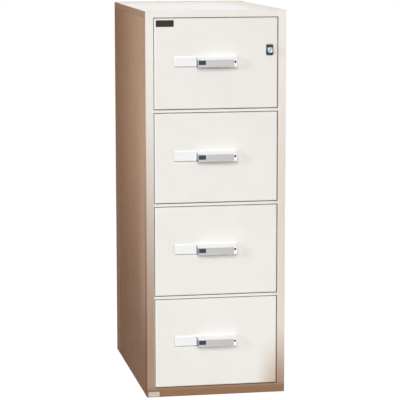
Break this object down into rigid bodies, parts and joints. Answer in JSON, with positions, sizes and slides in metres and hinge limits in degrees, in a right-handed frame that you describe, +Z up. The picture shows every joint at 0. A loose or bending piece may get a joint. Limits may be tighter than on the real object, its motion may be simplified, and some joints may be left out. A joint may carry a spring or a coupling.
{
  "type": "filing cabinet",
  "caption": "Tall fire-resistant vertical filing cabinet with insulated drawers on telescopic slides, hooded pulls with thumb latches and a push lock.",
  "frame": {"origin": "bottom centre of the whole object's box, on the floor", "axes": "+Z up, +X to the right of someone facing the drawers, drawers open towards -Y"},
  "size_m": [0.5, 0.8216, 1.372],
  "materials": {
    "frame_paint": "cream enamel, browned towards the floor",
    "case_paint": "tan enamel",
    "top_paint": "cream enamel, tan round the rim behind the front",
    "drawer_paint": "cream enamel",
    "pull_metal": "satin die casting",
    "card": "plain white card",
    "button_plastic": "dark ribbed plastic",
    "lock_plate": "black enamel",
    "lock_chrome": "bright chromium plate",
    "name_plate": "dark anodised, left bare",
    "plate_aluminium": "satin, left bare",
    "bare_steel": "galvanised sheet",
    "slide_steel": "zinc plated",
    "screw_steel": "black oxide",
    "insulation": "cast gypsum concrete"
  },
  "bodies": {
    "cabinet": {"face_frame": "frame_paint", "side_panel_left": "case_paint", "side_panel_right": "case_paint", "back_panel": "case_paint", "top_cover": "top_paint", "base_pan": "case_paint", "insulation_casting": "insulation", "compartment_liner": "bare_steel", "cabinet_slide_members": "slide_steel", "latch_keepers": "bare_steel", "rating_plate": "plate_aluminium"},
    "lock_bar": {"lock_bar": "bare_steel"},
    "drawer_1": {"drawer_1_front_shell": "drawer_paint", "drawer_1_inner_pan": "bare_steel", "drawer_1_insulation": "insulation", "drawer_1_tray": "bare_steel", "drawer_1_slide_members": "slide_steel", "drawer_1_pull": "pull_metal", "drawer_1_card": "card", "drawer_1_pull_screws": "screw_steel", "name_plate": "name_plate", "lock_housing": "lock_plate"},
    "middle_slide_1": {"drawer_1_middle_slide_members": "slide_steel"},
    "thumb_button_1": {"drawer_1_thumb_button": "button_plastic"},
    "latch_bolt_1": {"drawer_1_latch_bolt": "screw_steel"},
    "drawer_2": {"drawer_2_front_shell": "drawer_paint", "drawer_2_inner_pan": "bare_steel", "drawer_2_insulation": "insulation", "drawer_2_tray": "bare_steel", "drawer_2_slide_members": "slide_steel", "drawer_2_pull": "pull_metal", "drawer_2_card": "card", "drawer_2_pull_screws": "screw_steel"},
    "middle_slide_2": {"drawer_2_middle_slide_members": "slide_steel"},
    "thumb_button_2": {"drawer_2_thumb_button": "button_plastic"},
    "latch_bolt_2": {"drawer_2_latch_bolt": "screw_steel"},
    "drawer_3": {"drawer_3_front_shell": "drawer_paint", "drawer_3_inner_pan": "bare_steel", "drawer_3_insulation": "insulation", "drawer_3_tray": "bare_steel", "drawer_3_slide_members": "slide_steel", "drawer_3_pull": "pull_metal", "drawer_3_card": "card", "drawer_3_pull_screws": "screw_steel"},
    "middle_slide_3": {"drawer_3_middle_slide_members": "slide_steel"},
    "thumb_button_3": {"drawer_3_thumb_button": "button_plastic"},
    "latch_bolt_3": {"drawer_3_latch_bolt": "screw_steel"},
    "drawer_4": {"drawer_4_front_shell": "drawer_paint", "drawer_4_inner_pan": "bare_steel", "drawer_4_insulation": "insulation", "drawer_4_tray": "bare_steel", "drawer_4_slide_members": "slide_steel", "drawer_4_pull": "pull_metal", "drawer_4_card": "card", "drawer_4_pull_screws": "screw_steel"},
    "middle_slide_4": {"drawer_4_middle_slide_members": "slide_steel"},
    "thumb_button_4": {"drawer_4_thumb_button": "button_plastic"},
    "latch_bolt_4": {"drawer_4_latch_bolt": "screw_steel"},
    "lock_plunger": {"lock_plunger": "lock_chrome"},
    "lock_plug": {"lock_plug": "lock_chrome"}
  },
  "joints": [
    {"name": "drawer_1_slide", "type": "slide", "parent": "cabinet", "child": "drawer_1", "axis": [0, -1, 0], "range_m": [0, 0.6]},
    {"name": "middle_slide_1_slide", "type": "slide", "parent": "cabinet", "child": "middle_slide_1", "axis": [0, -1, 0], "range_m": [0, 0.3]},
    {"name": "thumb_button_1_press", "type": "slide", "parent": "drawer_1", "child": "thumb_button_1", "axis": [0, 1, 0], "range_m": [0, 0.006], "stiffness_N_per_m": 400, "springref_m": -0.005},
    {"name": "latch_bolt_1_draw", "type": "slide", "parent": "drawer_1", "child": "latch_bolt_1", "axis": [1, 0, 0], "range_m": [0, 0.008]},
    {"name": "drawer_2_slide", "type": "slide", "parent": "cabinet", "child": "drawer_2", "axis": [0, -1, 0], "range_m": [0, 0.6]},
    {"name": "middle_slide_2_slide", "type": "slide", "parent": "cabinet", "child": "middle_slide_2", "axis": [0, -1, 0], "range_m": [0, 0.3]},
    {"name": "thumb_button_2_press", "type": "slide", "parent": "drawer_2", "child": "thumb_button_2", "axis": [0, 1, 0], "range_m": [0, 0.006], "stiffness_N_per_m": 400, "springref_m": -0.005},
    {"name": "latch_bolt_2_draw", "type": "slide", "parent": "drawer_2", "child": "latch_bolt_2", "axis": [1, 0, 0], "range_m": [0, 0.008]},
    {"name": "drawer_3_slide", "type": "slide", "parent": "cabinet", "child": "drawer_3", "axis": [0, -1, 0], "range_m": [0, 0.6]},
    {"name": "middle_slide_3_slide", "type": "slide", "parent": "cabinet", "child": "middle_slide_3", "axis": [0, -1, 0], "range_m": [0, 0.3]},
    {"name": "thumb_button_3_press", "type": "slide", "parent": "drawer_3", "child": "thumb_button_3", "axis": [0, 1, 0], "range_m": [0, 0.006], "stiffness_N_per_m": 400, "springref_m": -0.005},
    {"name": "latch_bolt_3_draw", "type": "slide", "parent": "drawer_3", "child": "latch_bolt_3", "axis": [1, 0, 0], "range_m": [0, 0.008]},
    {"name": "drawer_4_slide", "type": "slide", "parent": "cabinet", "child": "drawer_4", "axis": [0, -1, 0], "range_m": [0, 0.6]},
    {"name": "middle_slide_4_slide", "type": "slide", "parent": "cabinet", "child": "middle_slide_4", "axis": [0, -1, 0], "range_m": [0, 0.3]},
    {"name": "thumb_button_4_press", "type": "slide", "parent": "drawer_4", "child": "thumb_button_4", "axis": [0, 1, 0], "range_m": [0, 0.006], "stiffness_N_per_m": 400, "springref_m": -0.005},
    {"name": "latch_bolt_4_draw", "type": "slide", "parent": "drawer_4", "child": "latch_bolt_4", "axis": [1, 0, 0], "range_m": [0, 0.008]},
    {"name": "lock_plunger_push", "type": "slide", "parent": "drawer_1", "child": "lock_plunger", "axis": [0, 1, 0], "range_m": [0, 0.01], "stiffness_N_per_m": 500, "springref_m": -0.008},
    {"name": "lock_plug_turn", "type": "hinge", "parent": "lock_plunger", "child": "lock_plug", "pos_m": [0.1895, -0.38625, 1.2332], "axis": [0, 1, 0], "range_deg": [0, 90]},
    {"name": "lock_bar_lift", "type": "slide", "parent": "cabinet", "child": "lock_bar", "axis": [0, 0, 1], "range_m": [0, 0.012]}
  ],
  "couplings": [
    {"joint": "middle_slide_1_slide", "follows": "drawer_1_slide", "ratio": 0.5},
    {"joint": "latch_bolt_1_draw", "follows": "thumb_button_1_press", "ratio": 1.3333},
    {"joint": "middle_slide_2_slide", "follows": "drawer_2_slide", "ratio": 0.5},
    {"joint": "latch_bolt_2_draw", "follows": "thumb_button_2_press", "ratio": 1.3333},
    {"joint": "middle_slide_3_slide", "follows": "drawer_3_slide", "ratio": 0.5},
    {"joint": "latch_bolt_3_draw", "follows": "thumb_button_3_press", "ratio": 1.3333},
    {"joint": "middle_slide_4_slide", "follows": "drawer_4_slide", "ratio": 0.5},
    {"joint": "latch_bolt_4_draw", "follows": "thumb_button_4_press", "ratio": 1.3333},
    {"joint": "lock_bar_lift", "follows": "lock_plunger_push", "ratio": 1.2}
  ]
}
